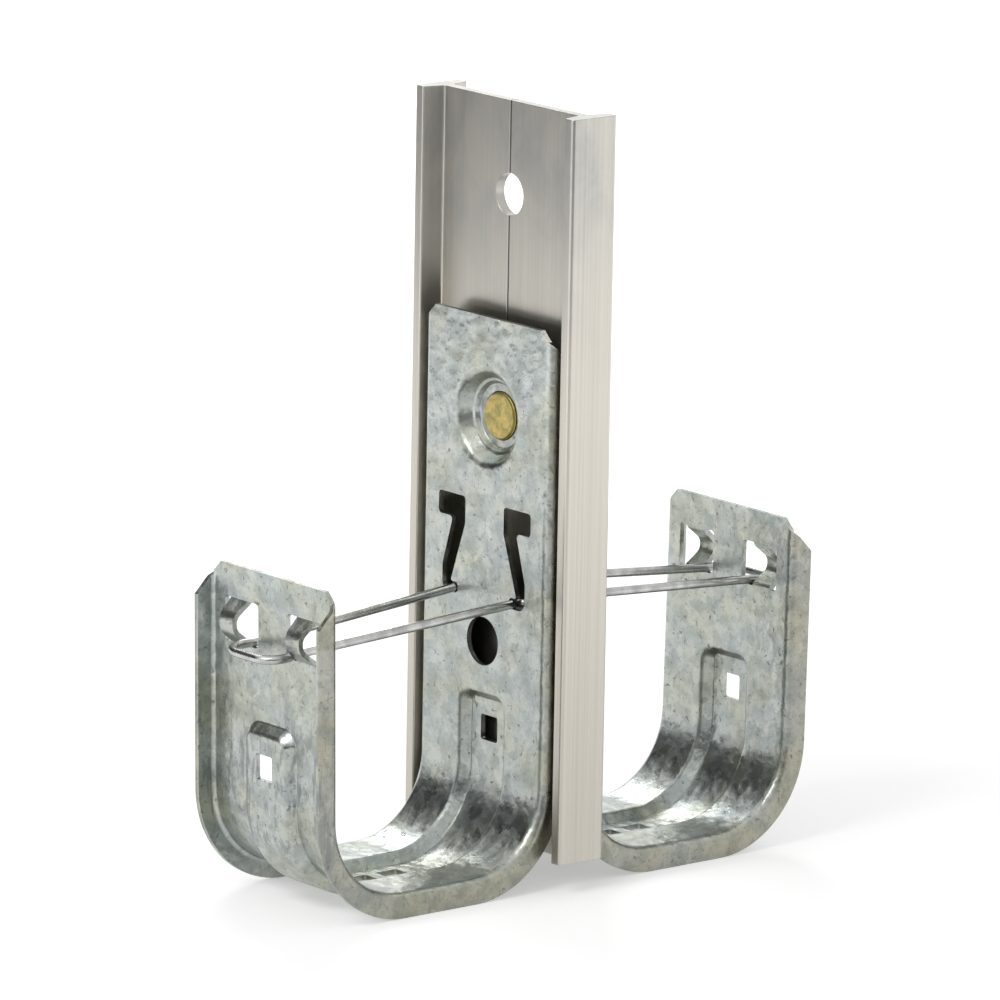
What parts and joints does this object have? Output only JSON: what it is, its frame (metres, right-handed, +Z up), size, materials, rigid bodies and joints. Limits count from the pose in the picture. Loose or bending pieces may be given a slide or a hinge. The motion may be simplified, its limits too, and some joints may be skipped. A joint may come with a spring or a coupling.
{
  "type": "j hook cable support",
  "caption": "Back-to-back sheet-steel J-hooks with sprung wire retainers, bolted through the web of a short aluminium H-section beam with a hanging hole.",
  "frame": {"origin": "middle of the object, at the height of the hooks' lowest rim edges, on which it stands", "axes": "+Z up along the beam, X across the beam's width, the front hook reaches toward -Y and the rear hook toward +Y"},
  "size_m": [0.049, 0.1298, 0.1534],
  "materials": {
    "extruded_aluminium": "satin extruded, with fine lines along its length",
    "galvanised_sheet": "hot-dip galvanised, softly spangled",
    "zinc_wire": "bright zinc plated, drawn",
    "yellow_zinc_steel": "yellow chromated zinc"
  },
  "bodies": {
    "root": {"beam": "extruded_aluminium", "front_hook": "galvanised_sheet", "rear_hook": "galvanised_sheet", "front_retainer": "zinc_wire", "rear_retainer": "zinc_wire", "bolt": "yellow_zinc_steel"}
  },
  "joints": []
}
